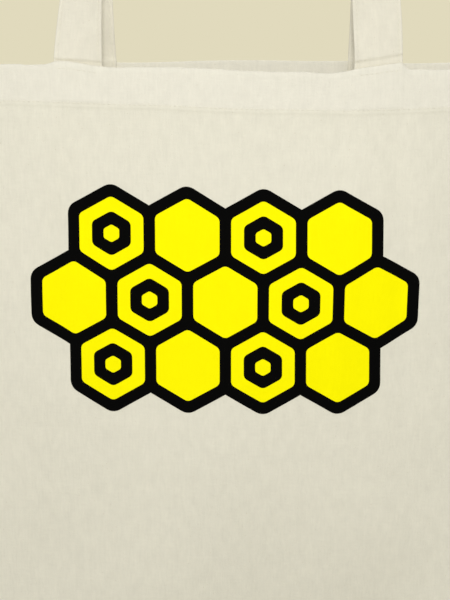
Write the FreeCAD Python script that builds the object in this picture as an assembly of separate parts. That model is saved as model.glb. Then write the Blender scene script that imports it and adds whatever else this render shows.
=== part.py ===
# A plain cotton tote bag hanging by its two strap loops, in millimetres.
# +X points right as seen from the printed front, -Y points out of that front, +Z is up.
# The origin is the middle of the round peg, rail or forearm that both loops hang over.
import FreeCAD, Part

import math
import os

# Bag
BAG_WIDTH = 380.0
BAG_HEIGHT = 420.0
CLOTH = 0.6
MOUTH_OPENING = 40.0
BELLY = 0.35
TAPER = 3
CORNER_RADIUS = 9.0
FRONT_SAG = 4.0
BACK_SAG = 1.0
SIDE_DROP = 5.0

# Seams and hems, all turned to the inside
SEAM_ALLOWANCE = 10.0
SEAM_THICKNESS = 1.0
HEM_DEPTH = 26.0
HEM_THICKNESS = 1.2

# Straps
STRAP_WIDTH = 29.0
STRAP_THICKNESS = 2.0
STRAP_SPACING = 180.0
STRAP_END_INSET = 2.5
HANDLE_DROP = 290.0
PEG_RADIUS = 60.0
LOOP_GAP = 5.0
FOLD_GAP = 0.3
FOLD_REACH = 1.0

# Printed film on the front
FILM = 0.15
CELL_RADIUS = 26.4
CELL_ROWS = (4, 5, 4)
LINE_WIDTH = 7.0
RING_RADIUS = 13.5
EYE_RADIUS = 5.4
PRINT_DROP = 140.0
PRINT_SHIFT = -2.0

BODY_SECTIONS = 9
LEG_SECTIONS = 11
FRONT = -1
BACK = 1

MOUTH_Z = PEG_RADIUS - HANDLE_DROP
BOTTOM_Z = MOUTH_Z - BAG_HEIGHT
HALF_WIDTH = BAG_WIDTH / 2
STRAP_X = STRAP_SPACING / 2
STRAP_INNER_X = STRAP_X - STRAP_WIDTH / 2
STRAP_OUTER_X = STRAP_X + STRAP_WIDTH / 2
REACH = MOUTH_OPENING + STRAP_WIDTH
UP = FreeCAD.Vector(0, 0, 1)
ACROSS = FreeCAD.Vector(0, 1, 0)
ORIGIN = FreeCAD.Vector(0, 0, 0)


# Half the inside depth of the bag in the middle of its width, at a height z.
def belly_depth(z):
    share = (MOUTH_Z - z) / BAG_HEIGHT
    return MOUTH_OPENING / 2 * (1 + BELLY * share) * (1 - share**TAPER)


# Distance from the middle plane to a panel's inner face, at a place on the front view.
def inner_face(x, z):
    return SEAM_THICKNESS / 2 + belly_depth(z) * (1 - (x / HALF_WIDTH) ** 2)


# Slope of the panel's horizontal section where a strap is sewn on, as an angle.
def strap_slant():
    return math.atan(2 * belly_depth(MOUTH_Z) * STRAP_X / HALF_WIDTH**2)


# One horizontal line of a panel's inner face: a parabola from side seam to side seam.
def section_curve(side, z):
    edge_y = side * SEAM_THICKNESS / 2
    curve = Part.BezierCurve()
    curve.setPoles(
        [
            FreeCAD.Vector(-HALF_WIDTH, edge_y, z),
            FreeCAD.Vector(0, edge_y + side * 2 * belly_depth(z), z),
            FreeCAD.Vector(HALF_WIDTH, edge_y, z),
        ]
    )
    return Part.Wire(curve.toShape())


# A panel's inner face, from the mouth down to the bottom seam, as it hangs.
def inner_surface(side):
    step = BAG_HEIGHT / (BODY_SECTIONS - 1)
    curves = [section_curve(side, MOUTH_Z - step * i) for i in range(BODY_SECTIONS)]
    return Part.makeLoft(curves, False, False)


# A layer of the hanging bag, between two distances outward from the panel's inner face.
def cloth_layer(side, inner, outer):
    face = inner_surface(side).Faces[0]
    face.translate(ACROSS * side * inner)
    return face.extrude(ACROSS * side * (outer - inner))


def front_point(x, z):
    return FreeCAD.Vector(x, -REACH, z)


def bezier_edge(points):
    curve = Part.BezierCurve()
    curve.setPoles(points)
    return curve.toShape()


# The mouth's edge in front view: held up at the straps, sagging between and outside them.
def mouth_edges(sag):
    side_mid = (HALF_WIDTH + STRAP_OUTER_X) / 2
    side_z = MOUTH_Z - SIDE_DROP
    return [
        bezier_edge(
            [
                front_point(-HALF_WIDTH, side_z),
                front_point(-side_mid, MOUTH_Z),
                front_point(-STRAP_OUTER_X, MOUTH_Z),
            ]
        ),
        Part.makeLine(front_point(-STRAP_OUTER_X, MOUTH_Z), front_point(-STRAP_INNER_X, MOUTH_Z)),
        bezier_edge(
            [
                front_point(-STRAP_INNER_X, MOUTH_Z),
                front_point(0, MOUTH_Z - 2 * sag),
                front_point(STRAP_INNER_X, MOUTH_Z),
            ]
        ),
        Part.makeLine(front_point(STRAP_INNER_X, MOUTH_Z), front_point(STRAP_OUTER_X, MOUTH_Z)),
        bezier_edge(
            [
                front_point(STRAP_OUTER_X, MOUTH_Z),
                front_point(side_mid, MOUTH_Z),
                front_point(HALF_WIDTH, side_z),
            ]
        ),
    ]


# Straight sides and a bottom with rounded corners, below the mouth's edge.
def skirt_edges():
    side_z = MOUTH_Z - SIDE_DROP
    turn_z = BOTTOM_Z + CORNER_RADIUS
    turn_x = HALF_WIDTH - CORNER_RADIUS
    bulge = CORNER_RADIUS * math.sqrt(0.5)

    def corner(sign):
        start = front_point(sign * HALF_WIDTH, turn_z)
        middle = front_point(sign * (turn_x + bulge), turn_z - bulge)
        end = front_point(sign * turn_x, BOTTOM_Z)
        return Part.Arc(start, middle, end).toShape()

    return [
        Part.makeLine(front_point(HALF_WIDTH, side_z), front_point(HALF_WIDTH, turn_z)),
        corner(1),
        Part.makeLine(front_point(turn_x, BOTTOM_Z), front_point(-turn_x, BOTTOM_Z)),
        corner(-1),
        Part.makeLine(front_point(-HALF_WIDTH, turn_z), front_point(-HALF_WIDTH, side_z)),
    ]


# The bag's front view as a block that trims every layer of cloth.
def outline_block(sag):
    wire = Part.Wire(Part.__sortEdges__(mouth_edges(sag) + skirt_edges()))
    return Part.Face(wire).extrude(ACROSS * 2 * REACH)


def box_between(low, high):
    size = high - low
    return Part.makeBox(size.x, size.y, size.z, low)


def panel(side, sag):
    return cloth_layer(side, 0, CLOTH).common(outline_block(sag))


# The turned top hem, on the inside of a panel from one side seam to the other.
def hem(side, sag):
    outline = outline_block(sag)
    below = outline.copy()
    below.translate(UP * -HEM_DEPTH)
    half = HALF_WIDTH - SEAM_ALLOWANCE
    between_seams = box_between(
        FreeCAD.Vector(-half, -REACH, BOTTOM_Z),
        FreeCAD.Vector(half, REACH, MOUTH_Z),
    )
    band = outline.cut(below).common(between_seams)
    return cloth_layer(side, -HEM_THICKNESS, 0).common(band)


# A strap's end, laid flat on the inside of the hem and sewn down.
def strap_end(side, hand):
    middle = hand * STRAP_X
    window = box_between(
        FreeCAD.Vector(middle - STRAP_WIDTH / 2, -REACH, MOUTH_Z - HEM_DEPTH + STRAP_END_INSET),
        FreeCAD.Vector(middle + STRAP_WIDTH / 2, REACH, MOUTH_Z),
    )
    sewn_face = -HEM_THICKNESS
    return cloth_layer(side, sewn_face - STRAP_THICKNESS, sewn_face).common(window)


# Both panels' seam allowances, sewn together and standing inside the bag.
def seam_strip(low_x, high_x, low_z, high_z):
    strip = box_between(
        FreeCAD.Vector(low_x, -SEAM_THICKNESS / 2, low_z),
        FreeCAD.Vector(high_x, SEAM_THICKNESS / 2, high_z),
    )
    return strip.common(outline_block(FRONT_SAG))


def side_seam(hand):
    edges = sorted((hand * (HALF_WIDTH - SEAM_ALLOWANCE), hand * HALF_WIDTH))
    return seam_strip(edges[0], edges[1], BOTTOM_Z + SEAM_ALLOWANCE, MOUTH_Z)


def bottom_seam():
    return seam_strip(-HALF_WIDTH, HALF_WIDTH, BOTTOM_Z, BOTTOM_Z + SEAM_ALLOWANCE)


# Strap loop
# Each leg leaves the mouth upright and follows one arc that runs tangent onto the peg.
def leg_turn():
    over_peg = PEG_RADIUS + STRAP_THICKNESS / 2
    return 2 * math.atan((STRAP_X - over_peg) / -MOUTH_Z)


def leg_radius():
    over_peg = PEG_RADIUS + STRAP_THICKNESS / 2
    return over_peg - MOUTH_Z / math.sin(leg_turn())


# Distance from the middle plane to the strap's own middle, where it leaves the mouth.
def strap_foot():
    return inner_face(STRAP_X, MOUTH_Z) - HEM_THICKNESS - STRAP_THICKNESS / 2


def strap_on_peg():
    return (STRAP_WIDTH + LOOP_GAP) / 2


# The strap's cross-section part of the way up the front right leg.
# It starts flat on the panel and makes a quarter twist, so that its face lies on the peg.
# Most of the twist comes low down, and none is left where the strap meets the peg.
def leg_section(share):
    start = FOLD_GAP / leg_radius()
    angle = start + (leg_turn() - start) * share
    slant = strap_slant()
    turned = math.sin(math.pi / 2 * share)
    twist = slant + (math.pi / 2 - slant) * turned
    away = -(strap_foot() + (strap_on_peg() - strap_foot()) * turned)
    centre = FreeCAD.Vector(
        STRAP_X + leg_radius() * (math.cos(angle) - 1),
        away,
        MOUTH_Z + leg_radius() * math.sin(angle),
    )
    outward = FreeCAD.Vector(math.cos(angle), 0, math.sin(angle))
    half_width = (outward * math.cos(twist) + ACROSS * math.sin(twist)) * STRAP_WIDTH / 2
    half_thick = (outward * math.sin(twist) - ACROSS * math.cos(twist)) * STRAP_THICKNESS / 2
    corners = [
        centre + half_width + half_thick,
        centre - half_width + half_thick,
        centre - half_width - half_thick,
        centre + half_width - half_thick,
    ]
    return Part.makePolygon(corners + corners[:1])


def strap_loop(side):
    sections = [leg_section(i / (LEG_SECTIONS - 1)) for i in range(LEG_SECTIONS)]
    right_leg = Part.makeLoft(sections, True, False)
    left_leg = right_leg.mirror(ORIGIN, FreeCAD.Vector(1, 0, 0))
    over_peg = 180 - 2 * math.degrees(leg_turn())
    arch = Part.Face(sections[-1]).revolve(ORIGIN, -ACROSS, over_peg)
    loop = right_leg.fuse([arch, left_leg])
    if side == BACK:
        loop = loop.mirror(ORIGIN, ACROSS)
    return loop


# The line that a handle folds over, just outside the mouth's edge.
def fold_axis_y(side):
    return side * (inner_face(STRAP_INNER_X, MOUTH_Z) + CLOTH + FOLD_REACH)


# Print
def hexagon(x, z, radius):
    angles = [math.radians(60 * i + 30) for i in range(6)]
    corners = [front_point(x + radius * math.cos(a), z + radius * math.sin(a)) for a in angles]
    return Part.makePolygon(corners + corners[:1])


# Centres of the cells, in rows shifted by half a cell, and whether each cell has a ring.
def cell_centres():
    pitch = CELL_RADIUS * math.sqrt(3)
    middle_row = (len(CELL_ROWS) - 1) / 2
    centres = []
    for row, count in enumerate(CELL_ROWS):
        z = MOUTH_Z - PRINT_DROP + (middle_row - row) * CELL_RADIUS * 1.5
        for place in range(count):
            x = PRINT_SHIFT + (place - (count - 1) / 2) * pitch
            centres.append((x, z, (row + place) % 2 == 0))
    return centres


def stamp(x, z, radius):
    return Part.Face(hexagon(x, z, radius)).extrude(ACROSS * REACH)


# A honeycomb of yellow cells between black lines, with a black ring in every other cell.
def print_films():
    half_line = LINE_WIDTH / 2 / math.cos(math.radians(30))
    lines, fills = [], []
    for x, z, ringed in cell_centres():
        lines.append(stamp(x, z, CELL_RADIUS + half_line))
        fill = stamp(x, z, CELL_RADIUS - half_line)
        if ringed:
            ring = stamp(x, z, RING_RADIUS)
            eye = stamp(x, z, EYE_RADIUS)
            fill = fill.cut(ring).fuse(eye)
        fills.append(fill)
    film = cloth_layer(FRONT, CLOTH, CLOTH + FILM)
    yellow_block = Part.makeCompound(fills)
    black_block = lines[0].fuse(lines[1:]).cut(yellow_block)
    return film.common(yellow_block), film.common(black_block)


def export(node, shape):
    solids = shape.Solids
    kept = solids[0] if len(solids) == 1 else Part.makeCompound(solids)
    kept.exportStep(os.path.join("parts", node + ".step"))
    print(f"{node}: {len(solids)} solid, {kept.Volume / 1000:.2f} cm3, valid {kept.isValid()}")


def main():
    os.makedirs("parts", exist_ok=True)
    yellow, black = print_films()
    nodes = {
        "front_panel": panel(FRONT, FRONT_SAG),
        "back_panel": panel(BACK, BACK_SAG),
        "front_hem": hem(FRONT, FRONT_SAG),
        "back_hem": hem(BACK, BACK_SAG),
        "side_seam_left": side_seam(-1),
        "side_seam_right": side_seam(1),
        "bottom_seam": bottom_seam(),
        "front_strap_end_left": strap_end(FRONT, -1),
        "front_strap_end_right": strap_end(FRONT, 1),
        "back_strap_end_left": strap_end(BACK, -1),
        "back_strap_end_right": strap_end(BACK, 1),
        "front_handle": strap_loop(FRONT),
        "back_handle": strap_loop(BACK),
        "print_yellow": yellow,
        "print_black": black,
    }
    for node, shape in nodes.items():
        export(node, shape)
    loop_length = 2 * leg_radius() * leg_turn()
    loop_length += (PEG_RADIUS + STRAP_THICKNESS / 2) * (math.pi - 2 * leg_turn())
    print(f"visible strap length {loop_length:.1f} mm")
    print(f"handles fold at y {fold_axis_y(FRONT):.2f} and {fold_axis_y(BACK):.2f} mm")


if __name__ == "__main__":
    main()
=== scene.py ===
# Looks of a cotton tote bag that hangs by its two strap loops, in metres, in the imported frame.
import math

import bmesh
import bpy
import numpy as np
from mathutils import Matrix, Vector, noise
from mathutils.geometry import delaunay_2d_cdt


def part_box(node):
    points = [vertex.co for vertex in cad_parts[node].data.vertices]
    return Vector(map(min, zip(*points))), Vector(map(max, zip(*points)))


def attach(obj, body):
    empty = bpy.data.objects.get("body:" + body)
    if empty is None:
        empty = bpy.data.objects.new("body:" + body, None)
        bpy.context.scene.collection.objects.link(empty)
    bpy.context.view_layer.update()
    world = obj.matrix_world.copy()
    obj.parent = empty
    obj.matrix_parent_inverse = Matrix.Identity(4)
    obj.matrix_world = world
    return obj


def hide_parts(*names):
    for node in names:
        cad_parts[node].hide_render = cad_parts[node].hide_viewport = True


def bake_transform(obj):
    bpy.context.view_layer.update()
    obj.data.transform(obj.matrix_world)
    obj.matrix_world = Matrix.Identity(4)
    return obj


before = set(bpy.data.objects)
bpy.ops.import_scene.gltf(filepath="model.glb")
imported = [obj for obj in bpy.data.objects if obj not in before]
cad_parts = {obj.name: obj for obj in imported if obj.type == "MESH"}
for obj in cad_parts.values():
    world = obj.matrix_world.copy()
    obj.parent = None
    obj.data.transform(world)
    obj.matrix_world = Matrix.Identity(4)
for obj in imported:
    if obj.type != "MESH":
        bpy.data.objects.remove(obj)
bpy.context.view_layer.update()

MM = 0.001
FRONT, BACK = -1, 1
LEFT, RIGHT = -1, 1
INNER, OUTER = -1, 1

# Sizes of the frame
PANEL_LOW, PANEL_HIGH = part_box("front_panel")
END_LOW, END_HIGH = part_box("front_strap_end_right")
HALF_WIDTH = PANEL_HIGH[0]
MOUTH = PANEL_HIGH[2]
BOTTOM = PANEL_LOW[2]
HEIGHT = MOUTH - BOTTOM
STRAP_X = (END_LOW[0] + END_HIGH[0]) / 2
STRAP_WIDTH = END_HIGH[0] - END_LOW[0]
STRAP_END_DEPTH = MOUTH - END_LOW[2]
STRAP_THICKNESS = 2.0 * MM
PEG_RADIUS = 60.0 * MM
LOOP_GAP = 5.0 * MM

# Shape of the hanging bag
CLOTH = 0.6 * MM
MOUTH_OPENING = 40.0 * MM
# How much the bag deepens on its way down, and how late it closes to the bottom seam
BELLY = 0.35
TAPER = 3
CORNER_RADIUS = 9.0 * MM
SEAM_WIDTH = 10.0 * MM
# Half the gap between the panels: at their rolled edge, and from the seam line on
EDGE_HALF = 0.05 * MM
SEAM_HALF = 0.5 * MM
SEAM_LINE = 3.0 * MM
# Reach of the cloth's rounding at its rolled edge
NOSE = 1.1 * MM

# Hem
HEM_DEPTH = 26.0 * MM
HEM_THICKNESS = 1.2 * MM
HEM_THINNEST = 0.02 * MM
HEM_SWELL = 0.36 * MM
SWELL_START = 3.0 * MM
SWELL_END = 2.2 * MM
SWELL_END_ABOVE = 0.6 * MM
STITCH_LINE = 24.0 * MM
GROOVE_DEPTH = 0.2 * MM
GROOVE_WIDTH = 0.8 * MM
GROOVE_DIMPLE = 0.2

# Thread
STITCH_PITCH = 3.0 * MM
STITCH_LENGTH = 2.3 * MM
THREAD_RADIUS = 0.19 * MM

# Height of the mouth's edge over MOUTH, as (place across, height) in millimetres
FRONT_EDGE = [
    (-190, -4.5), (-150, -1.2), (-125, 0.0), (-108, -0.1), (-103, 1.3), (-98, 1.7), (-88, 0.6),
    (-75, -1.3), (-53, -1.7), (-17, -2.3), (0, -3.2), (43, -4.4), (68, -4.2), (76, -2.6), (88, -1.0),
    (98, 0.2), (102, 0.2), (104, -1.4), (106, -2.9), (109, -3.2), (113, -3.3), (137, -3.6), (190, -6.0),
]
BACK_EDGE = [
    (-190, -4.8), (-137, -1.8), (-110, -1.0), (-84, -0.2), (-55, -0.2), (0, 1.1), (50, 0.7),
    (87, 0.5), (110, -0.5), (137, 0.0), (190, -3.6),
]
# Height of the hem's lower edge over where a level hem would have it
FRONT_LINE = [
    (-190, 0.5), (-150, 2.0), (-120, 2.4), (-104, 1.9), (-85, 1.2), (-59, 0.6), (-30, -0.2),
    (0, -1.6), (25, -2.1), (50, -2.6), (100, -2.6), (127, -1.6), (190, -2.5),
]
BACK_LINE = [(-190, -2.5), (-120, -1.0), (-40, 0.4), (50, -0.6), (120, 0.2), (190, -2.6)]

# Waves in the whole bag, each with its height and length in millimetres and its start in radians
SIDE_WAVES = {LEFT: [(1.8, 230, 0.0), (0.5, 71, 0.0)], RIGHT: [(1.8, 230, 1.9), (0.5, 71, 4.37)]}
BOTTOM_WAVES = [(3.4, 310, 0.6), (1.19, 92, 0.0)]
DRAW_WAVES = {LEFT: [(0.45, 83, 0.4)], RIGHT: [(0.45, 83, 2.1)]}
# Lengths of side over which they fade in, below the mouth and above the bottom
SIDE_FADE_TOP = 60.0 * MM
SIDE_FADE_LOW = 80.0 * MM
DRAW_FADE = 40.0 * MM
# The lower share of the bag's height that the bottom's waves reach
BOTTOM_WAVE_SHARE = 0.4
BAG_TWIST = 5.0 * MM
SIDE_BOW = 2.2 * MM

# Puckers beside a seam: their spacing, how far and how fast it strays, and their reach
PUCKER_HEIGHT = 0.32 * MM
PUCKER_START = 2.0 * MM
SIDE_PUCKERS = (12.7 * MM, 1.4, 61.0, 7.0 * MM)
BOTTOM_PUCKERS = (13.9 * MM, 1.7, 53.0, 6.0 * MM)

# Soft folds that the bag's weight draws down from the left and the right strap. Each has its
# place across at the mouth and lower down, its width there, its height and its length.
FOLDS = {
    (FRONT, LEFT): [(108, 138, 15, 1.8, 320), (92, 104, 9, -1.3, 280), (79, 70, 8, 0.9, 220)],
    (FRONT, RIGHT): [(107, 148, 16, 1.7, 340), (95, 112, 9, -1.1, 250), (80, 62, 9, 1.0, 270)],
    (BACK, LEFT): [(103, 142, 17, 2.9, 300), (85, 98, 9, -2.2, 310), (70, 44, 9, 1.5, 250)],
    (BACK, RIGHT): [(105, 132, 15, 2.6, 320), (90, 96, 8, -2.0, 280), (74, 52, 9, 1.7, 240)],
}
# A fold's width at the mouth and its growth, as shares of the width above
FOLD_NARROW = 0.45
FOLD_GROWTH = 0.75
# Where a fold has its full height, where it ends and how long it fades, as shares of its length
FOLD_FULL = 0.3
FOLD_END = 1.35
FOLD_FADE = 0.9
# How far from the side and bottom seams folds and waves have their full height
FREE_SIDE = 50.0 * MM
FREE_BOTTOM = 60.0 * MM

# Slow waves of hanging cloth: height, lengths across and down in millimetres, start in radians,
# and what the back adds to the start and the front takes off
SLACK_WAVES = [(0.9, 262, 610, 0.0, 0.8), (0.7, 173, -430, 1.9, 1.0), (0.45, 118, 197, 0.0, -0.6)]
SLACKNESS = {FRONT: 0.9, BACK: 1.5}
SLACK_FADE = 120.0 * MM
LOW_SLACK = 1.6
LOW_SLACK_START = 250.0 * MM

# How a leg strays from its even curve in millimetres at the foot and half way up, and its extra
# turn in degrees over the foot
LEG_STRAYS = {
    (FRONT, LEFT): (0.9, 5.0, 6.0),
    (FRONT, RIGHT): (-1.5, -4.0, -18.0),
    (BACK, LEFT): (7.5, 1.2, -9.0),
    (BACK, RIGHT): (-3.1, -1.0, 2.0),
}


def smooth(t):
    t = np.clip(t, 0.0, 1.0)
    return t * t * (3 - 2 * t)


def bell(t):
    return np.exp(-t * t)


# A smooth curve through a few points, as a function of arrays.
def curve_through(points):
    xs = np.array([p[0] for p in points], float) * MM
    ys = np.array([p[1] for p in points], float) * MM
    slopes = np.gradient(ys, xs)

    def value(x):
        i = np.clip(np.searchsorted(xs, x) - 1, 0, len(xs) - 2)
        width = xs[i + 1] - xs[i]
        t = np.clip((x - xs[i]) / width, 0.0, 1.0)
        start = ys[i] + slopes[i] * width * t
        end = ys[i + 1] + slopes[i + 1] * width * (t - 1)
        return start + (end - start) * smooth(t)

    return value


edge_height = {FRONT: curve_through(FRONT_EDGE), BACK: curve_through(BACK_EDGE)}
line_height = {FRONT: curve_through(FRONT_LINE), BACK: curve_through(BACK_LINE)}


def waves(distance, rows):
    total = 0.0
    for height, length, start in rows:
        total = total + height * MM * np.sin(2 * np.pi * distance / (length * MM) + start)
    return total


# Waves down the left side where x is on the left, and down the right side elsewhere.
def side_waves(x, v, rows):
    return np.where(x < 0, waves(v, rows[LEFT]), waves(v, rows[RIGHT]))


def belly_depth(z):
    share = np.clip((MOUTH - z) / HEIGHT, 0.0, 1.0)
    return MOUTH_OPENING / 2 * (1 + BELLY * share) * (1 - share**TAPER)


# Half the bag's width at a height, with its rounded bottom corners.
def half_width(z):
    below = np.clip(BOTTOM + CORNER_RADIUS - z, 0.0, CORNER_RADIUS)
    return HALF_WIDTH - CORNER_RADIUS + np.sqrt(CORNER_RADIUS**2 - below**2)


# How far the hanging bag as a whole strays towards the back or front: its sides wave, its bottom
# edge bends, and it twists a little on its straps.
def seam_wander(x, v):
    share = x / HALF_WIDTH
    down = v / HEIGHT
    fade = smooth(v / SIDE_FADE_TOP) * smooth((HEIGHT - v) / SIDE_FADE_LOW)
    sides = side_waves(x, v, SIDE_WAVES) * share * share * fade
    low = smooth((down - 1 + BOTTOM_WAVE_SHARE) / BOTTOM_WAVE_SHARE)
    bottom = waves(x, BOTTOM_WAVES) * (1 - share**4) * low
    return sides + bottom + BAG_TWIST * share * smooth(down)


# How far the opened bag and its side seams' uneven thread draw the sides in.
def side_draw(x, v):
    bow = SIDE_BOW * np.sin(np.pi * np.clip(v / HEIGHT, 0.0, 1.0))
    fade = smooth(v / DRAW_FADE) * smooth((HEIGHT - v) / DRAW_FADE)
    return bow + side_waves(x, v, DRAW_WAVES) * fade


def pucker_row(along, away, row, start):
    spacing, stray, pace, reach = row
    line = np.sin(2 * np.pi * along / spacing + stray * np.sin(along * pace) + start)
    return line * np.exp(-away / reach) * smooth(away / PUCKER_START)


# Small puckers that the seam's thread draws in the cloth beside it.
def puckers(side, x, v, from_side, from_bottom):
    beside = pucker_row(v, from_side, SIDE_PUCKERS, side)
    above = pucker_row(x, from_bottom, BOTTOM_PUCKERS, -side)
    return PUCKER_HEIGHT * (beside + above)


def drag_folds(side, x, v):
    total = np.zeros_like(x)
    for hand in (LEFT, RIGHT):
        for start, end, width, height, length in FOLDS[side, hand]:
            share = v / (length * MM)
            path = (start + (end - start) * share) * MM
            spread = width * MM * (FOLD_NARROW + FOLD_GROWTH * share)
            along = smooth(share / FOLD_FULL) * smooth((FOLD_END - share) / FOLD_FADE)
            total = total + height * bell((hand * x - path) / spread) * along
    return total * MM


# Slow waves of hanging cloth, slacker on the back and towards the bottom.
def slack(side, x, v):
    total = 0.0
    for height, across, down, start, shift in SLACK_WAVES:
        turns = x / (across * MM) + v / (down * MM)
        total = total + height * MM * np.sin(2 * np.pi * turns + start + shift * side)
    low = 1 + LOW_SLACK * smooth((v - LOW_SLACK_START) / SLACK_FADE)
    return total * SLACKNESS[side] * low * smooth(v / SLACK_FADE)


# Where a place on the flat cloth hangs: across x, and v below the mouth's edge.
def surface(side, x, v):
    x, v = np.broadcast_arrays(np.asarray(x, float), np.asarray(v, float))
    in_hem = 1 - smooth(v / HEM_DEPTH)
    below = 1 - np.clip((v - HEM_DEPTH) / (HEIGHT - HEM_DEPTH), 0.0, 1.0)
    z = MOUTH - v + edge_height[side](x) * in_hem + line_height[side](x) * (1 - in_hem) * below
    limit = half_width(z)
    across = x / HALF_WIDTH * (limit - side_draw(x, v))
    from_side = limit * (1 - np.abs(x) / HALF_WIDTH)
    from_bottom = HEIGHT - v
    nearest = np.minimum(from_side, from_bottom)
    free = smooth(from_side / FREE_SIDE) * smooth(from_bottom / FREE_BOTTOM)
    depth = EDGE_HALF + (SEAM_HALF - EDGE_HALF) * smooth(nearest / SEAM_LINE)
    depth = depth + belly_depth(z) * (1 - (x / HALF_WIDTH) ** 2)
    depth = depth + free * (drag_folds(side, x, v) + slack(side, x, v))
    depth = depth + puckers(side, x, v, from_side, from_bottom)
    y = side * depth + seam_wander(x, v)
    return np.stack([across, y, z], axis=-1)


def unit(vectors):
    return vectors / np.linalg.norm(vectors, axis=-1, keepdims=True)


PROBE = 0.4 * MM


# The surface point with its directions across, down and outward.
def surface_frame(side, x, v):
    across = surface(side, x + PROBE, v) - surface(side, x - PROBE, v)
    down = surface(side, x, v + PROBE) - surface(side, x, v - PROBE)
    normal = unit(np.cross(across, down))
    facing = np.sign(normal[..., 1:2]) * side
    return surface(side, x, v), unit(across), unit(down), normal * facing


# Share of the cloth's thickness left close to the rolled side and bottom seams.
def nose(x, v):
    from_side = HALF_WIDTH - np.abs(x)
    nearest = np.minimum(from_side, HEIGHT - v)
    inside = 1 - np.clip(nearest / NOSE, 0.0, 1.0)
    return np.sqrt(np.clip(1 - inside * inside, 0.0, 1.0))


# The turned hem swells the cloth a little, and its thread draws a dimpled groove.
def hem_relief(x, v):
    end = smooth((v - HEM_DEPTH + SWELL_END_ABOVE) / SWELL_END)
    swell = HEM_SWELL * smooth(v / SWELL_START) * (1 - end)
    dimples = 1 - GROOVE_DIMPLE + GROOVE_DIMPLE * np.cos(2 * np.pi * x / STITCH_PITCH)
    return swell - GROOVE_DEPTH * bell((v - STITCH_LINE) / GROOVE_WIDTH) * dimples


STRAP_SHOWS = 0.4 * MM
STRAP_SHOWS_SIDE = 1.8 * MM
STRAP_SHOWS_END = 2.0 * MM


def strap_foot(side, hand):
    return hand * STRAP_X + LEG_STRAYS[side, hand][0] * MM


# The strap ends inside the hem swell the cloth over them.
def strap_relief(side, x, v):
    total = 0.0
    end = 1 - smooth((v - STRAP_END_DEPTH) / STRAP_SHOWS_END + 0.5)
    for hand in (LEFT, RIGHT):
        from_edge = STRAP_WIDTH / 2 - np.abs(x - strap_foot(side, hand))
        total = total + smooth(from_edge / STRAP_SHOWS_SIDE + 0.5) * end
    return STRAP_SHOWS * total


def outer_offset(side, x, v):
    return (CLOTH + hem_relief(x, v) + strap_relief(side, x, v)) * nose(x, v)


def facing_offset(side, x, v):
    room = np.abs(surface(side, x, v)[..., 1] - seam_wander(x, v)) - SEAM_HALF
    return -np.clip(room, HEM_THINNEST, HEM_THICKNESS) * nose(x, v)


def outer_point(side, x, v, lift):
    place, _, _, outward = surface_frame(side, x, v)
    return place + outward * (outer_offset(side, x, v) + lift)[..., None]


# Meshes
WELD = 0.002 * MM
THREAD_WELD = 0.0005 * MM
FILM_WELD = 0.0001 * MM


def new_object(name, verts, faces, uv=None):
    mesh = bpy.data.meshes.new(name)
    mesh.from_pydata([tuple(v) for v in verts], [], [tuple(f) for f in faces])
    if uv is not None:
        layer = mesh.uv_layers.new(name="cloth")
        corners = np.empty(len(mesh.loops), int)
        mesh.loops.foreach_get("vertex_index", corners)
        layer.data.foreach_set("uv", np.asarray(uv, float)[corners].ravel())
    piece = bpy.data.objects.new(name, mesh)
    bpy.context.scene.collection.objects.link(piece)
    for polygon in mesh.polygons:
        polygon.use_smooth = True
    return piece


def weld(piece, distance=WELD):
    work = bmesh.new()
    work.from_mesh(piece.data)
    bmesh.ops.remove_doubles(work, verts=work.verts, dist=distance)
    bmesh.ops.dissolve_degenerate(work, edges=work.edges, dist=distance)
    bmesh.ops.recalc_face_normals(work, faces=work.faces)
    work.to_mesh(piece.data)
    work.free()


def grid_faces(rows, columns, wrap=False):
    index = np.arange(rows * columns).reshape(rows, columns)
    if wrap:
        index = np.concatenate([index, index[:, :1]], axis=1)
    quads = np.stack([index[:-1, :-1], index[:-1, 1:], index[1:, 1:], index[1:, :-1]], axis=-1)
    return quads.reshape(-1, 4)


# Faces of a closed tube whose rows are rings, with a flat cap at each end.
def tube_faces(rows, columns):
    last = rows * columns - 1
    faces = [tuple(f) for f in grid_faces(rows, columns, wrap=True)]
    return faces + [tuple(range(columns)), tuple(range(last, last - columns, -1))]


# Distances from a seam at which the cloth's roll needs points, before the even grid starts.
ROLL_STEPS = np.array([0.0, 0.08, 0.25, 0.55, 1.1, 2.0, 3.2, 5.0]) * MM
# Distances below the hem at which its lower edge needs points.
BELOW_HEM_STEPS = np.array([0.35, 0.8, 1.5, 2.4, 3.6]) * MM
MOUTH_ROLL = np.radians([30, 60, 90, 120, 150])
GRID = 3.2 * MM
HEM_ROWS = 34
# A finer grid at the outer edge of each strap, where the mouth's edge steps down.
FINE_GRID = 1.1 * MM
FINE_STEPS = 13
FINE_REACH = 15.0 * MM


def across_places():
    span = HALF_WIDTH - ROLL_STEPS[-1] - GRID
    middle = np.linspace(-span, span, int(2 * span / GRID))
    fine = np.arange(-FINE_STEPS, FINE_STEPS + 1) * FINE_GRID
    for hand in (LEFT, RIGHT):
        corner = hand * (STRAP_X + STRAP_WIDTH / 2)
        middle = np.concatenate([middle[np.abs(middle - corner) > FINE_REACH], corner + fine])
    middle = np.sort(middle)
    return np.concatenate([ROLL_STEPS - HALF_WIDTH, middle, (HALF_WIDTH - ROLL_STEPS)[::-1]])


def down_places():
    roll = (HEM_THICKNESS + CLOTH) / 2
    hem = np.linspace(roll, HEM_DEPTH, HEM_ROWS)
    below = HEM_DEPTH + BELOW_HEM_STEPS
    last = HEIGHT - ROLL_STEPS[::-1]
    span = last[0] - below[-1]
    middle = np.linspace(below[-1], last[0], int(span / GRID))[1:-1]
    return hem, np.concatenate([below, middle, last])


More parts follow.
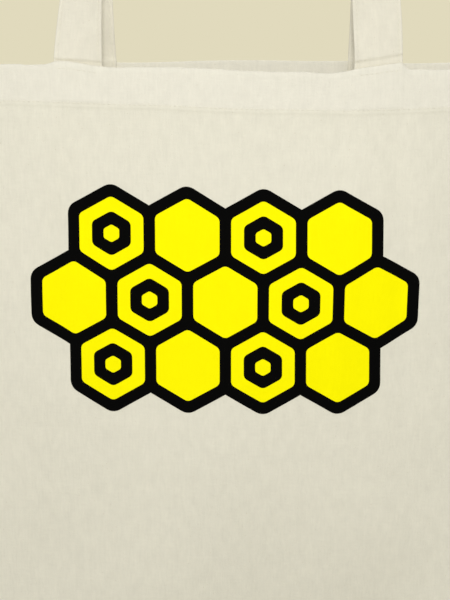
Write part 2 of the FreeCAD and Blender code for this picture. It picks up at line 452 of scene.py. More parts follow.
# One panel as sewn: the outer face rolls over the mouth's edge into the hem inside it.
def panel(name, side):
    x = across_places()
    hem, rest = down_places()
    every = np.concatenate([hem, rest])
    rows, uv_down = [], []

    def add(points, v):
        rows.append(points)
        uv_down.append(v)

    for v in every[::-1]:
        add(outer_point(side, x, np.full_like(x, v), 0.0), v)
    start = np.full_like(x, hem[0])
    place, _, down, outward = surface_frame(side, x, start)
    out, back = outer_offset(side, x, start), facing_offset(side, x, start)
    middle, radius = (out + back) / 2, (out - back) / 2
    for turn in MOUTH_ROLL:
        points = place + outward * (middle + radius * math.cos(turn))[:, None]
        add(points - down * (radius * math.sin(turn))[:, None], hem[0] - MM * math.sin(turn))
    for v in every:
        depth = np.full_like(x, v)
        place, _, _, outward = surface_frame(side, x, depth)
        inner = facing_offset(side, x, depth) if v <= HEM_DEPTH else np.zeros_like(x)
        add(place + outward * inner[:, None], -v)
    points = np.array(rows)
    uv = np.stack(np.broadcast_arrays(x[None, :], -np.array(uv_down)[:, None]), axis=-1)
    piece = new_object(name, points.reshape(-1, 3), grid_faces(*points.shape[:2]), uv.reshape(-1, 2))
    # The hem band, which the body's material paints lighter as painted light.
    painted_light_hem_band = np.repeat(np.abs(uv_down) < STITCH_LINE, len(x)).astype(float)
    attribute = piece.data.attributes.new("hem", "FLOAT", "POINT")
    attribute.data.foreach_set("value", painted_light_hem_band)
    weld(piece)
    return piece


# Seam allowances
SEAM_THICKNESS_HALF = 0.4 * MM
# Half a cut through one: each point's share of its rise and of its half thickness
SEAM_CUT = [(0.0, 0.0), (0.05, 0.7), (0.5, 1.0), (0.93, 0.8), (1.0, 0.0)]
# Waves of its raw edge: share of the rise and step in radians
SEAM_RUFFLES = [(0.06, 1.3), (0.04, 2.9)]
SIDE_SEAM_TOP = 2.0 * MM
SIDE_SEAM_LOW = 9.0 * MM
BOTTOM_SEAM_END = 11.0 * MM


# The seam allowance inside the bag, both layers sewn and overlocked together.
def seam_strip(name, places, edge, rise):
    ring = SEAM_CUT + [(share, -half) for share, half in SEAM_CUT[-2:0:-1]]
    points = []
    for i in range(len(places)):
        ruffle = 1 + sum(height * math.sin(i * step) for height, step in SEAM_RUFFLES)
        for share, half in ring:
            reach = rise[i] * share * (ruffle if share > 0.5 else 1.0)
            points.append(places[i] + edge + reach + np.array([0, SEAM_THICKNESS_HALF * half, 0]))
    count = len(ring)
    along = np.repeat(np.arange(len(places)) * GRID, count)
    uv = np.stack([along, np.tile(np.arange(count) * MM, len(places))], axis=-1)
    piece = new_object(name, points, tube_faces(len(places), count), uv)
    weld(piece)
    return piece


def side_seam(name, hand):
    v = np.arange(SIDE_SEAM_TOP, HEIGHT - SIDE_SEAM_LOW, GRID)
    x = np.full_like(v, hand * HALF_WIDTH)
    places = surface(FRONT, x, v)
    places[:, 1] = seam_wander(x, v)
    rise = np.tile([-hand * (SEAM_WIDTH - SEAM_LINE), 0, 0], (len(v), 1))
    return seam_strip(name, places, np.array([-hand * SEAM_LINE, 0, 0]), rise)


def bottom_seam(name):
    x = np.arange(-HALF_WIDTH + BOTTOM_SEAM_END, HALF_WIDTH - BOTTOM_SEAM_END, GRID)
    low = seam_wander(x, HEIGHT - SEAM_LINE)
    places = np.stack([x, low, np.full_like(x, BOTTOM)], axis=-1)
    lean = seam_wander(x, HEIGHT - SEAM_WIDTH) - low
    rise = np.stack([np.zeros_like(x), lean, np.full_like(x, SEAM_WIDTH - SEAM_LINE)], axis=-1)
    return seam_strip(name, places, np.array([0, 0, SEAM_LINE]), rise)


# Straps
# Where a leg bends forward over the mouth, as heights at its left and right edge in millimetres
LEG_CREASES = {
    (FRONT, LEFT): (2.4, 0.5),
    (FRONT, RIGHT): (0.4, 4.8),
    (BACK, LEFT): (1.5, 1.0),
    (BACK, RIGHT): (1.0, 1.8),
}
CREASE_DEPTH = 1.0 * MM
CREASE_RISE = 1.8 * MM
CREASE_FADE = 20.0 * MM
OVER_PEG = PEG_RADIUS + STRAP_THICKNESS / 2
LEG_TURN = 2 * math.atan((STRAP_X - OVER_PEG) / -MOUTH)
LEG_RADIUS = OVER_PEG - MOUTH / math.sin(LEG_TURN)
LEG_LENGTH = LEG_RADIUS * LEG_TURN
LOOP_LENGTH = 2 * LEG_LENGTH + OVER_PEG * (math.pi - 2 * LEG_TURN)
STRAP_SLANT = math.atan(MOUTH_OPENING * STRAP_X / HALF_WIDTH**2)
MOUTH_AT_STRAP = SEAM_HALF + MOUTH_OPENING / 2 * (1 - (STRAP_X / HALF_WIDTH) ** 2)
STRAP_FOOT = MOUTH_AT_STRAP - HEM_THICKNESS - STRAP_THICKNESS / 2
STRAP_ON_PEG = (STRAP_WIDTH + LOOP_GAP) / 2
SEWN_GAP = 0.05 * MM
SETTLE = 25.0 * MM

# How unevenly a leg hangs: height, length and seed of its turns in degrees, its strays and its bow
TURN_WAVE, TURN_LENGTH, TURN_SEED = 5.0, 70.0 * MM, 3.1
STRAY_WAVE, STRAY_LENGTH, STRAY_SEED = 0.8, 90.0 * MM, 8.7
BOW_WAVE, BOW_LENGTH, BOW_SEED = 0.9 * MM, 50.0 * MM, 5.5
# Lengths of leg over which they fade in above the mouth and out below the peg
LOOSE_FOOT = 30.0 * MM
LOOSE_TOP = 50.0 * MM
BOW_FOOT = 40.0 * MM
FOOT_REACH = 90.0 * MM
FOOT_END = 80.0 * MM

# The tape's cross-section, with its points close together at the edges
TAPE_HALF = 0.92 * MM
TAPE_ROUND = 0.95 * MM
TAPE_CROWN = 0.06 * MM
TAPE_GROOVE = 0.3 * MM
EDGE_STITCH = 2.3 * MM
TAPE_STEPS = np.array([0.0, 0.07, 0.25, 0.55, 0.95, 1.4, 1.85, 2.3, 2.75, 3.3, 4.1]) * MM
TAPE_MIDDLE = 9

# Rows of points along the tape: sewn in the hem, close together over the mouth, and wider above
SEWN_ROWS = 14
SEWN_LAST = 1.0 * MM
FOOT_ROWS = 15
FOOT_GRID = 0.6 * MM
TAPE_GRID = 2.6 * MM


# Even noise around 0 at distances along a strap, which repeats with the same seed.
def wave(s, length, seed):
    return np.array([noise.noise(Vector((float(k) / length, seed, 0.5))) for k in np.ravel(s)])


# A table's values for points on the left or right leg of one strap.
def by_leg(table, side, hand):
    return [np.where(hand < 0, left, right) for left, right in zip(table[side, LEFT], table[side, RIGHT])]


# A strap's middle line with its directions across the width and out of its outer face.
def strap_frames(side, s):
    climb = np.minimum(s, LOOP_LENGTH - s)
    hand = np.where(s <= LOOP_LENGTH / 2, 1.0, -1.0)
    on_leg = climb < LEG_LENGTH
    share = np.clip(climb / LEG_LENGTH, 0.0, 1.0)
    turned = np.sin(np.pi / 2 * share)
    loose = smooth(climb / LOOSE_FOOT) * smooth((LEG_LENGTH - climb) / LOOSE_TOP)
    foot, sway, turn = by_leg(LEG_STRAYS, side, hand)
    uneven = TURN_WAVE * wave(s, TURN_LENGTH, TURN_SEED + side) + turn * bell(climb / FOOT_REACH)
    twist = STRAP_SLANT + (np.pi / 2 - STRAP_SLANT) * turned + loose * np.radians(uneven)
    angle = np.where(on_leg, climb / LEG_RADIUS, LEG_TURN + (climb - LEG_LENGTH) / OVER_PEG)
    x = np.where(on_leg, STRAP_X + LEG_RADIUS * (np.cos(angle) - 1), OVER_PEG * np.cos(angle))
    z = np.where(on_leg, MOUTH + LEG_RADIUS * np.sin(angle), OVER_PEG * np.sin(angle))
    away = STRAP_FOOT + (STRAP_ON_PEG - STRAP_FOOT) * turned
    stray = foot * np.exp(-climb / FOOT_REACH) * smooth((LEG_LENGTH - climb) / FOOT_END)
    stray = stray + sway * np.sin(np.pi * share)
    stray = stray + loose * STRAY_WAVE * wave(s, STRAY_LENGTH, STRAY_SEED - side)
    centre = np.stack([hand * x + stray * MM, side * away, z], axis=-1)
    outward = np.stack([hand * np.cos(angle), np.zeros_like(x), np.sin(angle)], axis=-1)
    inward = np.array([0.0, -side, 0.0])
    wide = outward * np.cos(twist)[:, None] + inward * np.sin(twist)[:, None]
    thick = outward * np.sin(twist)[:, None] - inward * np.cos(twist)[:, None]
    return centre, wide, thick, hand


# Half the strap's thickness at a distance from its middle: rounded folds and sewn grooves.
def strap_profile(a):
    from_edge = STRAP_WIDTH / 2 - np.abs(a)
    inside = 1 - np.clip(from_edge / TAPE_ROUND, 0.0, 1.0)
    half = TAPE_HALF * np.sqrt(np.clip(1 - inside * inside, 0.0, 1.0))
    groove = TAPE_GROOVE * bell((from_edge - EDGE_STITCH) / GROOVE_WIDTH)
    return half - groove + TAPE_CROWN * np.cos(a / STRAP_WIDTH * 2 * np.pi)


def strap_ring():
    right = STRAP_WIDTH / 2 - TAPE_STEPS
    middle = np.linspace(right[-1], -right[-1], TAPE_MIDDLE)[1:-1]
    top = np.concatenate([right, middle, -right[::-1]])
    face = strap_profile(top)
    return np.concatenate([top, top[-2:0:-1]]), np.concatenate([face, -face[-2:0:-1]])


def leg_crease(side, hand, a, climb):
    left, right = by_leg(LEG_CREASES, side, hand)
    height = (left + (right - left) * (0.5 + hand * a / STRAP_WIDTH)) * MM
    return CREASE_DEPTH * smooth((climb - height) / CREASE_RISE) * np.exp(-climb / CREASE_FADE)


# Points of a strap's end that is sewn inside the hem.
def sewn_points(side, x, v, b):
    place, _, _, outward = surface_frame(side, x, v)
    return place + outward * (b - HEM_THICKNESS - STRAP_THICKNESS / 2 - SEWN_GAP)[:, None]


# Points at distances s along the strap, a across it and b out of its outer face.
# Below the mouth they lie on the hem, and above it they leave it smoothly.
def strap_points(side, s, a, b):
    s, a, b = np.broadcast_arrays(s, a, b)
    shape = s.shape
    s, a, b = s.ravel(), a.ravel(), b.ravel()
    along = np.clip(s, 0.0, LOOP_LENGTH)
    centre, wide, thick, hand = strap_frames(side, along)
    climb = np.minimum(along, LOOP_LENGTH - along)
    bow = BOW_WAVE * smooth(climb / BOW_FOOT) * wave(along, BOW_LENGTH, BOW_SEED + side)
    out = b + bow * (1 - (2 * a / STRAP_WIDTH) ** 2) + leg_crease(side, hand, a, climb)
    free = centre + wide * a[:, None] + thick * out[:, None]
    foot = np.where(s <= LOOP_LENGTH / 2, 0.0, LOOP_LENGTH)
    foot_centre, foot_wide, foot_thick, _ = strap_frames(side, foot)
    foot_free = foot_centre + foot_wide * a[:, None] + foot_thick * b[:, None]
    x = foot_centre[:, 0] + hand * a
    edge = edge_height[side](x)
    sunk = np.maximum(0.0, np.maximum(-s, s - LOOP_LENGTH))
    settle = (1 - smooth(climb / SETTLE))[:, None]
    lifted = free + (sewn_points(side, x, edge, b) - foot_free) * settle
    sewn = sewn_points(side, x, edge + sunk, b)
    return np.where((sunk > 0)[:, None], sewn, lifted).reshape(shape + (3,))


def strap(name, side):
    sewn = np.linspace(-STRAP_END_DEPTH, -SEWN_LAST, SEWN_ROWS)
    foot = np.arange(FOOT_ROWS) * FOOT_GRID
    above = FOOT_ROWS * FOOT_GRID
    middle = np.linspace(above, LOOP_LENGTH - above, int(LOOP_LENGTH / TAPE_GRID))
    half = np.concatenate([sewn, foot])
    s = np.concatenate([half, middle, (LOOP_LENGTH - half)[::-1]])
    a, b = strap_ring()
    points = strap_points(side, s[:, None], a[None, :], b[None, :])
    rows, columns = points.shape[:2]
    around = np.where(np.arange(columns) < (columns + 2) // 2, a, STRAP_WIDTH - a)
    uv = np.stack(np.broadcast_arrays(around[None, :], s[:, None]), axis=-1)
    piece = new_object(name, points.reshape(-1, 3), tube_faces(rows, columns), uv.reshape(-1, 2))
    weld(piece)
    return piece


# Stitches
STITCH_STEPS = np.array([-0.5, -0.4, -0.2, 0.0, 0.2, 0.4, 0.5])
STITCH_LIFT = 0.10 * MM
STITCH_DIP = 0.42 * MM
THREAD_SIDES = 6
THREAD_TIP = 0.02
THREAD_PROBE = 0.5 * MM
# Rows across a strap's end, below the mouth, and how far they stay from the strap's edges
END_ROW_TOP = 4.0 * MM
END_ROW_LOW = STITCH_LINE - 2.0 * MM
END_ROW_OUTSIDE = 1.5 * MM
END_ROW_INSIDE = 2.5 * MM
# How far the hem's row stays from the bag's sides and, inside, from a strap, and how far a
# strap's rows stay from its ends
HEM_ROW_END = 3.0 * MM
HEM_ROW_CLEAR = 1.0 * MM
STRAP_ROW_END = 2.0 * MM


# One stitch is a short thread that rises out of the cloth and dips back into it.
def stitch_shape():
    share = STITCH_STEPS * 2
    lift = STITCH_LIFT - STITCH_DIP * share**4
    radius = THREAD_RADIUS * np.sqrt(np.clip(1 + THREAD_TIP - share**6, THREAD_TIP, 1.0))
    turns = np.linspace(0, 2 * np.pi, THREAD_SIDES + 1)[:-1]
    x = np.repeat(STITCH_STEPS * STITCH_LENGTH, THREAD_SIDES)
    y = (radius[:, None] * np.cos(turns)[None, :]).ravel()
    z = np.repeat(lift, THREAD_SIDES) + (radius[:, None] * np.sin(turns)[None, :]).ravel()
    return np.stack([x, y, z], axis=-1), tube_faces(len(STITCH_STEPS), THREAD_SIDES)


# One object of many stitches, from rows of places with their directions along and out.
def stitches(name, rows):
    shape, shape_faces = stitch_shape()
    centre = np.concatenate([row[0] for row in rows])
    along = unit(np.concatenate([row[1] for row in rows]))
    out = np.concatenate([row[2] for row in rows])
    out = unit(out - along * np.sum(out * along, axis=-1, keepdims=True))
    cross = np.cross(out, along)
    points = centre[:, None, :] + along[:, None, :] * shape[None, :, 0:1]
    points = points + cross[:, None, :] * shape[None, :, 1:2] + out[:, None, :] * shape[None, :, 2:3]
    count = len(shape)
    faces = [tuple(i + k * count for i in face) for k in range(len(centre)) for face in shape_faces]
    piece = new_object(name, points.reshape(-1, 3), faces)
    weld(piece, THREAD_WELD)
    return piece


def stitch_places(length):
    count = int(length / STITCH_PITCH)
    return (np.arange(count) - (count - 1) / 2) * STITCH_PITCH


# A row of stitches across a panel's outer or inner face.
def panel_row(side, x, depth, inner=False):
    v = np.full_like(x, depth)
    place, across, _, outward = surface_frame(side, x, v)
    if inner:
        return place + outward * facing_offset(side, x, v)[:, None], across, -outward
    return place + outward * outer_offset(side, x, v)[:, None], across, outward


def hem_stitches(name, side):
    x = stitch_places(2 * (HALF_WIDTH - HEM_ROW_END))
    feet = [strap_foot(side, hand) for hand in (LEFT, RIGHT)]
    clear = np.min([np.abs(x - foot) for foot in feet], axis=0) > STRAP_WIDTH / 2 + HEM_ROW_CLEAR
    rows = [panel_row(side, x, STITCH_LINE), panel_row(side, x[clear], STITCH_LINE, inner=True)]
    for foot in feet:
        across = stitch_places(STRAP_WIDTH - 2 * END_ROW_OUTSIDE)
        rows.append(panel_row(side, foot + across, END_ROW_TOP))
    return stitches(name, rows)


# A row of stitches on a strap, along it or across it, on its inner or outer face.
def strap_row(side, s, a, face, step_s, step_a):
    b = face * strap_profile(a)
    here = strap_points(side, s, a, b)
    ahead = strap_points(side, s + step_s, a + step_a, b)
    above = strap_points(side, s, a, b + face * THREAD_PROBE)
    return here, ahead - here, above - here


def strap_stitches(name, side):
    rows = []
    end = STRAP_END_DEPTH - STRAP_ROW_END
    s = np.arange(-end, LOOP_LENGTH + end, STITCH_PITCH)
    for edge in (LEFT, RIGHT):
        a = np.full_like(s, edge * (STRAP_WIDTH / 2 - EDGE_STITCH))
        for face in (INNER, OUTER):
            rows.append(strap_row(side, s, a, face, THREAD_PROBE, 0.0))
    a = stitch_places(STRAP_WIDTH - 2 * END_ROW_INSIDE)
    for place in (-END_ROW_TOP, -END_ROW_LOW, LOOP_LENGTH + END_ROW_TOP, LOOP_LENGTH + END_ROW_LOW):
        rows.append(strap_row(side, np.full_like(a, place), a, INNER, 0.0, THREAD_PROBE))
    return stitches(name, rows)


# Print
CELL_RADIUS = 26.4 * MM
CELL_ROWS = (4, 5, 4)
CELL_CORNER = 4.0 * MM
LINE_WIDTH = 7.0 * MM
RING_RADIUS = 13.5 * MM
EYE_RADIUS = 5.4 * MM
PRINT_DROP = 140.0 * MM
PRINT_SHIFT = -2.0 * MM
FILM_BASE = 0.05 * MM
FILM_BLACK = 0.15 * MM
FILM_YELLOW = 0.09 * MM
FILM_GRID = 3.0 * MM
FILM_EDGE = math.radians(50)
PLAN_TOLERANCE = 1e-4
WHOLE_AREA = 0
# A hexagon's radius to its flat sides, as a share of its radius to its corners
FLAT = math.cos(math.radians(30))
HALF_LINE = LINE_WIDTH / 2 / FLAT
CORNER_TURNS = np.radians(np.linspace(-30, 30, 6))


# A hexagon with rounded corners and evenly divided sides, on the flat front.
def rounded_hexagon(x, z, radius, corner):
    points = []
    inner = radius - corner / FLAT
    for i in range(6):
        angle, following = math.radians(60 * i + 30), math.radians(60 * i + 90)
        cx, cz = x + inner * math.cos(angle), z + inner * math.sin(angle)
        for turn in CORNER_TURNS:
            points.append((cx + corner * math.cos(angle + turn), cz + corner * math.sin(angle + turn)))
        nx, nz = x + inner * math.cos(following), z + inner * math.sin(following)
        turn = following + CORNER_TURNS[0]
        start = np.array(points[-1])
        side = np.array([nx + corner * math.cos(turn), nz + corner * math.sin(turn)]) - start
        pieces = max(1, int(np.linalg.norm(side) / FILM_GRID))
        points += [tuple(start + side * k / pieces) for k in range(1, pieces)]
    return points


# Each cell's middle, and whether it has a ring.
def cells():
    pitch = CELL_RADIUS * math.sqrt(3)
    middle_row = (len(CELL_ROWS) - 1) / 2
    for row, count in enumerate(CELL_ROWS):
        z = (middle_row - row) * CELL_RADIUS * 1.5
        for place in range(count):
            x = PRINT_SHIFT + (place - (count - 1) / 2) * pitch
            yield x, z, (row + place) % 2 == 0


# How far points lie outside a rounded hexagon, negative inside it.
def outside_hexagon(points, x, z, radius, corner):
    angles = np.radians(30 + 60 * np.arange(7))
    core = radius - corner / FLAT
    ring = np.stack([x + core * np.cos(angles), z + core * np.sin(angles)], axis=-1)
    along = ring[1:] - ring[:-1]
    reach = points[:, None, :] - ring[None, :-1, :]
    share = np.sum(reach * along, axis=-1) / np.sum(along * along, axis=-1)
    gap = np.linalg.norm(reach - np.clip(share, 0, 1)[..., None] * along, axis=-1).min(axis=1)
    left = along[:, 0] * reach[..., 1] - along[:, 1] * reach[..., 0]
    return np.where(np.all(left > 0, axis=1), -gap, gap) - corner


# The flat print as triangles: which of them are yellow and which are black.
def print_plan():
    shapes = {"line": [], "fill": [], "ring": [], "eye": []}
    for x, z, ringed in cells():
        shapes["line"].append((x, z, CELL_RADIUS + HALF_LINE, CELL_CORNER + HALF_LINE))
        shapes["fill"].append((x, z, CELL_RADIUS - HALF_LINE, CELL_CORNER))
        if ringed:
            shapes["ring"].append((x, z, RING_RADIUS, CELL_CORNER))
            shapes["eye"].append((x, z, EYE_RADIUS, CELL_CORNER / 2))
    points, edges = [], []
    for shape in sum(shapes.values(), []):
        outline = rounded_hexagon(*shape)
        first = len(points)
        points += outline
        edges += [(first + i, first + (i + 1) % len(outline)) for i in range(len(outline))]
    drawn = np.array(points)
    low, high = drawn.min(axis=0), drawn.max(axis=0)
    for z in np.arange(low[1], high[1], FILM_GRID):
        for x in np.arange(low[0], high[0], FILM_GRID):
            if np.min(np.hypot(drawn[:, 0] - x, drawn[:, 1] - z)) > FILM_GRID / 3:
                points.append((x, z))
    places = [Vector(p) / MM for p in points]
    result = delaunay_2d_cdt(places, edges, [], WHOLE_AREA, PLAN_TOLERANCE)
    flat = np.array([tuple(p) for p in result[0]]) * MM
    triangles = np.array([tuple(t) for t in result[2]])
    middles = flat[triangles].mean(axis=1)
    within = {
        kind: np.min([outside_hexagon(middles, *shape) for shape in shapes[kind]], axis=0) < 0
        for kind in shapes
    }
    light = (within["fill"] & ~within["ring"]) | within["eye"]
    return flat, triangles[light], triangles[within["line"] & ~light]


# A printed film: the triangles laid on the front, with a back and walls along its edges.
def film(name, flat, triangles, height):
    triangles = [tuple(int(i) for i in triangle) for triangle in triangles]
    used = sorted({i for triangle in triangles for i in triangle})
    place = {old: new for new, old in enumerate(used)}
    x = flat[used, 0]
    v = PRINT_DROP - flat[used, 1]
    low = outer_point(FRONT, x, v, FILM_BASE)
    high = outer_point(FRONT, x, v, FILM_BASE + height)
    count = len(used)
    top = [tuple(place[i] + count for i in triangle) for triangle in triangles]
    under = [tuple(place[i] for i in triangle[::-1]) for triangle in triangles]
    # An edge of the film is one that no triangle takes the other way round.
    edges = dict.fromkeys(
        (place[i], place[j]) for triangle in triangles for i, j in zip(triangle, triangle[1:] + triangle[:1])
    )
    walls = [(i, j, j + count, i + count) for i, j in edges if (j, i) not in edges]
    uv = np.stack([x, -v], axis=-1)
    piece = new_object(name, np.concatenate([low, high]), top + under + walls, np.tile(uv, (2, 1)))
    weld(piece, FILM_WELD)
    piece.data.set_sharp_from_angle(angle=FILM_EDGE)
    return piece


# Materials
def linear(r, g, b):
    parts = []
    for value in (r, g, b):
        share = value / 255
        parts.append(share / 12.92 if share <= 0.04045 else ((share + 0.055) / 1.055) ** 2.4)
    return (*parts, 1.0)


# Painted light: the hem's colour is the cloth's painted lighter, as the double hem lets less light through
# into the dark bag than the single cloth below.
CLOTH_COLOUR = linear(227, 223, 206)
HEM_PAINTED_LIGHT_COLOUR = linear(230, 226, 211)
STRAP_COLOUR = linear(228, 223, 206)
SEAM_COLOUR = linear(226, 221, 204)
SPECK_COLOUR = linear(168, 146, 104)
THREAD_COLOUR = linear(229, 225, 209)
YELLOW_INK = linear(255, 246, 0)
BLACK_INK = linear(3, 3, 3)
YARN_PITCH = 0.48 * MM
SPECK_RANGE = (0.81, 0.86)
SPECK_SHARE = 0.4
WEAVE_BUMP = 0.1 * MM
INK_BUMP = 0.07 * MM
THREAD_BUMP = 0.06 * MM
THREAD_SCALE = 1800.0


# Nodes of a material or a world.
class Graph:
    def __init__(self, owner):
        owner.use_nodes = True
        self.tree = owner.node_tree

    def node(self, kind, inputs=(), **settings):
        made = self.tree.nodes.new(kind)
        for key, value in settings.items():
            setattr(made, key, value)
        self.fill(made, inputs)
        return made

    # Links an input to a socket, or sets it to a plain value.
    def fill(self, made, inputs):
        for key, value in dict(inputs).items():
            if hasattr(value, "is_output"):
                self.tree.links.new(value, made.inputs[key])
            else:
                made.inputs[key].default_value = value

    def math(self, operation, first, second):
        return self.node("ShaderNodeMath", {0: first, 1: second}, operation=operation).outputs[0]

    # A value's share added to a base level.
    def level(self, value, share, base):
        return self.math("ADD", self.math("MULTIPLY", value, share), base)

    # The product of levels, each from a value with its share and base.
    def product(self, *parts):
        total = self.level(*parts[0])
        for part in parts[1:]:
            total = self.math("MULTIPLY", total, self.level(*part))
        return total

    # The sum of shares, each from a value.
    def total(self, *parts):
        total = 0.0
        for value, share in parts:
            total = self.level(value, share, total)
        return total

    # Soft noise with patches about this wide and long on the cloth, in millimetres.
    def cloud(self, place, width, length, detail=2.0):
        scale = (1 / (width * MM), 1 / (length * MM), 1.0)
        stretched = self.node("ShaderNodeMapping", {"Vector": place, "Scale": scale}).outputs[0]
        inputs = {"Vector": stretched, "Scale": 1.0, "Detail": detail}
        return self.node("ShaderNodeTexNoise", inputs, noise_dimensions="2D").outputs["Fac"]

    def ramp(self, value, low, high):
        inputs = {"Value": value, "From Min": low, "From Max": high}
        return self.node("ShaderNodeMapRange", inputs).outputs[0]

    def tint(self, colour, factor):
        inputs = {0: 1.0, 6: colour, 7: factor}
        return self.node("ShaderNodeMix", inputs, data_type="RGBA", blend_type="MULTIPLY").outputs[2]

    def blend(self, share, first, second):
        return self.node("ShaderNodeMix", {0: share, 6: first, 7: second}, data_type="RGBA").outputs[2]

    # Fills the sockets of a material's own shader.
    def shade(self, **sockets):
        named = {key.replace("_", " "): value for key, value in sockets.items()}
        self.fill(self.tree.nodes["Principled BSDF"], named)

    def bump(self, height, distance):
        inputs = {"Height": height, "Distance": distance, "Strength": 1.0}
        return self.node("ShaderNodeBump", inputs).outputs[0]


def cloth_place(graph):
    return graph.node("ShaderNodeUVMap", uv_map="cloth").outputs[0]


# Plain weave: threads over and under, with the uneven thickness of raw cotton yarn.
def weave(graph, place):
    parts = graph.node("ShaderNodeSeparateXYZ", {0: place}).outputs
    per_thread = 2 * math.pi / YARN_PITCH
    warp, weft = [graph.math("SINE", graph.math("MULTIPLY", parts[i], per_thread), 0.0) for i in (0, 1)]
    crossing = graph.math("MULTIPLY", warp, weft)
    return crossing, graph.cloud(place, 1.5, 8.5), graph.cloud(place, 7.0, 1.6)


# Raw cotton cloth: streaks and patches of uneven yarn, and a few darker specks. On the panels the hem band
# is painted lighter as painted light, since the single cloth below loses light through itself into the dark
# bag and the double hem loses less.
def calico(name, colour, hem_painted_light_colour=None):
    material = bpy.data.materials.new(name)
    graph = Graph(material)
    place = cloth_place(graph)
    crossing, down, across = weave(graph, place)
    if hem_painted_light_colour:
        painted_light_hem_band = graph.node("ShaderNodeAttribute", attribute_name="hem").outputs["Fac"]
        colour = graph.blend(painted_light_hem_band, colour, hem_painted_light_colour)
    tone = graph.product(
        (graph.ramp(down, 0.3, 0.7), 0.03, 0.97),
        (across, 0.04, 0.98),
        (graph.cloud(place, 70, 110, detail=3.0), 0.04, 0.98),
        (graph.cloud(place, 6, 11), 0.09, 0.955),
        (crossing, 0.015, 1.0),
    )
    speck = graph.ramp(graph.cloud(place, 0.9, 1.6, detail=1.0), *SPECK_RANGE)
    specks = graph.math("MULTIPLY", speck, SPECK_SHARE)
    speckled = graph.blend(specks, graph.tint(colour, tone), SPECK_COLOUR)
    height = graph.total((crossing, 0.25), (down, 1.2), (across, 1.0))
    graph.shade(
        Base_Color=speckled,
        Normal=graph.bump(height, WEAVE_BUMP),
        Roughness=0.92,
        Sheen_Weight=0.12,
        Sheen_Roughness=0.5,
        Specular_IOR_Level=0.2,
    )
    return material


# Sewing thread with its twisted plies.
def thread(name, colour):
    material = bpy.data.materials.new(name)
    graph = Graph(material)
    place = graph.node("ShaderNodeTexCoord").outputs["Object"]
    inputs = {"Vector": place, "Scale": THREAD_SCALE, "Detail": 1.0}
    ply = graph.node("ShaderNodeTexNoise", inputs).outputs["Fac"]
    graph.shade(
        Base_Color=graph.tint(colour, graph.level(ply, 0.16, 0.9)),
        Normal=graph.bump(ply, THREAD_BUMP),
        Roughness=0.8,
        Sheen_Weight=0.1,
        Specular_IOR_Level=0.3,
    )
    return material


# Ink pressed into the weave: its colour stays flat, and the threads show in its gloss.
def ink(name, colour, roughness):
    material = bpy.data.materials.new(name)
    graph = Graph(material)
    place = cloth_place(graph)
    crossing, down, across = weave(graph, place)
    tone = graph.product((graph.cloud(place, 18, 22, detail=4.0), 0.05, 0.96), (down, 0.03, 0.985))
    height = graph.total((crossing, 0.2), (down, 0.8), (across, 0.7))
    graph.shade(
        Base_Color=graph.tint(colour, tone),
        Normal=graph.bump(height, INK_BUMP),
        Roughness=roughness,
        Specular_IOR_Level=0.04,
    )
    return material


def finish_piece(piece, material):
    piece.data.materials.clear()
    piece.data.materials.append(material)


def build_bag():
    body_cloth = calico("calico_body", CLOTH_COLOUR, HEM_PAINTED_LIGHT_COLOUR)
    strap_cloth = calico("calico_strap", STRAP_COLOUR)
    seam_cloth = calico("calico_seam", SEAM_COLOUR)
    sewing = thread("sewing_thread", THREAD_COLOUR)
    for label, side in (("front", FRONT), ("back", BACK)):
        body = panel(label + "_panel_cloth", side)
        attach(body, "bag")
        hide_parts(label + "_panel", label + "_hem")
        finish_piece(body, body_cloth)
        loop = strap(label + "_strap_cloth", side)
        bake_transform(loop)
        ends = [f"{label}_strap_end_{hand}" for hand in ("left", "right")]
        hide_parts(label + "_handle", *ends)
        finish_piece(loop, strap_cloth)
        seams = hem_stitches(label + "_hem_stitches", side)
        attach(seams, "bag")
        finish_piece(seams, sewing)
        edges = strap_stitches(label + "_strap_stitches", side)
        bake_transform(edges)
        finish_piece(edges, sewing)
    for strip, node in (
        (side_seam("side_seam_left_cloth", LEFT), "side_seam_left"),
        (side_seam("side_seam_right_cloth", RIGHT), "side_seam_right"),
        (bottom_seam("bottom_seam_cloth"), "bottom_seam"),
    ):
        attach(strip, "bag")
        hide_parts(node)
        finish_piece(strip, seam_cloth)


def build_print():
    flat, yellow, black = print_plan()
    for node, triangles, height, material in (
        ("print_yellow", yellow, FILM_YELLOW, ink("yellow_ink", YELLOW_INK, roughness=0.75)),
        ("print_black", black, FILM_BLACK, ink("black_ink", BLACK_INK, roughness=0.8)),
    ):
        piece = film(node + "_film", flat, triangles, height)
        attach(piece, "bag")
        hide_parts(node)
        finish_piece(piece, material)


# Studio
BACKGROUND = linear(225, 218, 189)
WORLD_COLOUR = (1.0, 0.995, 0.96, 1.0)
WORLD_LIGHT = 0.375
# Each broad lamp's direction from the bag in degrees (0 is the front, and height), strength and spread
SUNS = {
    "key": (1.0, 38.0, 0.49, 16.0),
    "back": (165.0, 36.0, 2.0, 40.0),
    "left": (-85.0, 22.0, 0.6, 40.0),
    "right": (95.0, 22.0, 0.5, 40.0),
}
SUN_ON_FLOOR = sum(strength * math.sin(math.radians(height)) for _, height, strength, _ in SUNS.values())
FLOOR_LIGHT = WORLD_LIGHT * math.pi + SUN_ON_FLOOR
# Lit like that, the floor is seen in the backdrop's colour, and it throws back less than that.
FLOOR_MATCH = 0.99
FLOOR_SEEN = (*(value * FLOOR_MATCH * math.pi / FLOOR_LIGHT for value in BACKGROUND[:3]), 1.0)
FLOOR_BOUNCE = (0.60, 0.59, 0.55, 1.0)
FLOOR_DROP = 60.0 * MM
FLOOR_RADIUS = 5.0
FRONT_LAMP_PLACE = Vector((0.0, -0.95, -0.04))
FRONT_LAMP_AIM = Vector((0.0, 0.0, -0.3))
FRONT_LAMP_SIZE = 0.12
FRONT_LAMP_POWER = 3.5
FRONT_LAMP_SPREAD = math.radians(160)


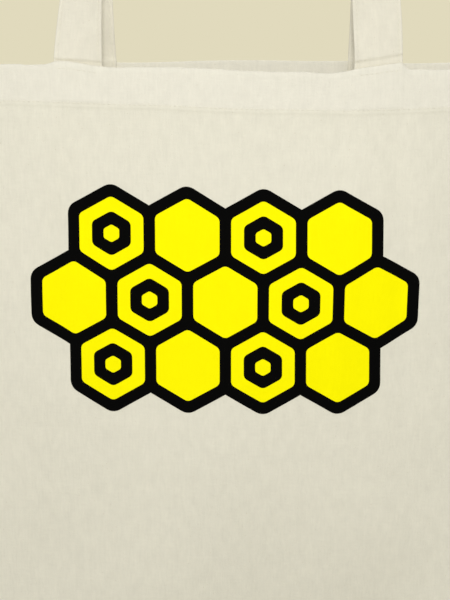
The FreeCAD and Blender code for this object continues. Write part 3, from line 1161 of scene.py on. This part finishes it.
def build_world():
    world = bpy.data.worlds.new("studio")
    bpy.context.scene.world = world
    graph = Graph(world)
    graph.tree.nodes.clear()
    path = graph.node("ShaderNodeLightPath").outputs
    direct = graph.math("MAXIMUM", path["Is Camera Ray"], path["Is Glossy Ray"])
    direct = graph.math("MAXIMUM", direct, path["Is Transmission Ray"])
    inputs = {"Color": WORLD_COLOUR, "Strength": WORLD_LIGHT}
    light = graph.node("ShaderNodeBackground", inputs).outputs[0]
    seen = graph.node("ShaderNodeBackground", {"Color": BACKGROUND}).outputs[0]
    either = graph.node("ShaderNodeMixShader", {0: direct, 1: light, 2: seen}).outputs[0]
    graph.node("ShaderNodeOutputWorld", {"Surface": either})


def build_floor():
    bpy.ops.mesh.primitive_circle_add(vertices=96, radius=FLOOR_RADIUS, fill_type="NGON")
    floor = bpy.context.object
    floor.name = "studio_floor"
    floor.location = (0, 0, BOTTOM - FLOOR_DROP)
    material = bpy.data.materials.new("studio_floor")
    floor.data.materials.append(material)
    graph = Graph(material)
    seen = graph.node("ShaderNodeLightPath").outputs["Is Camera Ray"]
    colour = graph.blend(seen, FLOOR_BOUNCE, FLOOR_SEEN)
    graph.shade(Base_Color=colour, Roughness=0.9, Specular_IOR_Level=0.0)
    return floor


# A lamp object at a place, whose light comes from the direction back.
def add_lamp(light, place, back):
    lamp = bpy.data.objects.new(light.name, light)
    lamp.location = place
    lamp.rotation_euler = back.to_track_quat("Z", "Y").to_euler()
    bpy.context.scene.collection.objects.link(lamp)
    return lamp


# A small lamp that lights the bag from the front and leaves the floor to the other lamps.
def front_lamp(floor):
    light = bpy.data.lights.new("front", "AREA")
    light.shape = "SQUARE"
    light.size = FRONT_LAMP_SIZE
    light.energy = FRONT_LAMP_POWER
    light.spread = FRONT_LAMP_SPREAD
    lamp = add_lamp(light, FRONT_LAMP_PLACE, FRONT_LAMP_PLACE - FRONT_LAMP_AIM)
    left_out = bpy.data.collections.new("not_lit_from_the_front")
    left_out.objects.link(floor)
    left_out.collection_objects[0].light_linking.link_state = "EXCLUDE"
    lamp.light_linking.receiver_collection = left_out


def sun(name, azimuth, elevation, strength, spread):
    light = bpy.data.lights.new(name, "SUN")
    light.energy = strength
    light.angle = math.radians(spread)
    turn, rise = math.radians(azimuth), math.radians(elevation)
    towards = Vector((math.sin(turn) * math.cos(rise), -math.cos(turn) * math.cos(rise), math.sin(rise)))
    add_lamp(light, (0, 0, 0), towards)


def build_lights(floor):
    for name, settings in SUNS.items():
        sun(name, *settings)
    front_lamp(floor)


# Camera
PHOTO_WIDTH = 0.270
CAMERA_DISTANCE = 1.0
CAMERA_TILT = math.radians(10.0)
CAMERA_AIM = Vector((-2.2 * MM, -20 * MM, MOUTH - PRINT_DROP))
SENSOR = 36.0
NEAREST = 0.05


def build_camera():
    data = bpy.data.cameras.new("photo_camera")
    data.sensor_fit = "HORIZONTAL"
    data.sensor_width = SENSOR
    data.lens = SENSOR * CAMERA_DISTANCE / PHOTO_WIDTH
    data.clip_start = NEAREST
    camera = bpy.data.objects.new("photo_camera", data)
    bpy.context.scene.collection.objects.link(camera)
    back = Vector((0.0, -math.cos(CAMERA_TILT), math.sin(CAMERA_TILT)))
    camera.location = CAMERA_AIM + back * CAMERA_DISTANCE
    camera.rotation_euler = back.to_track_quat("Z", "Y").to_euler()
    bpy.context.scene.camera = camera


build_world()
build_lights(build_floor())
build_camera()
build_bag()
build_print()

view = bpy.context.scene.view_settings
view.view_transform = "Standard"
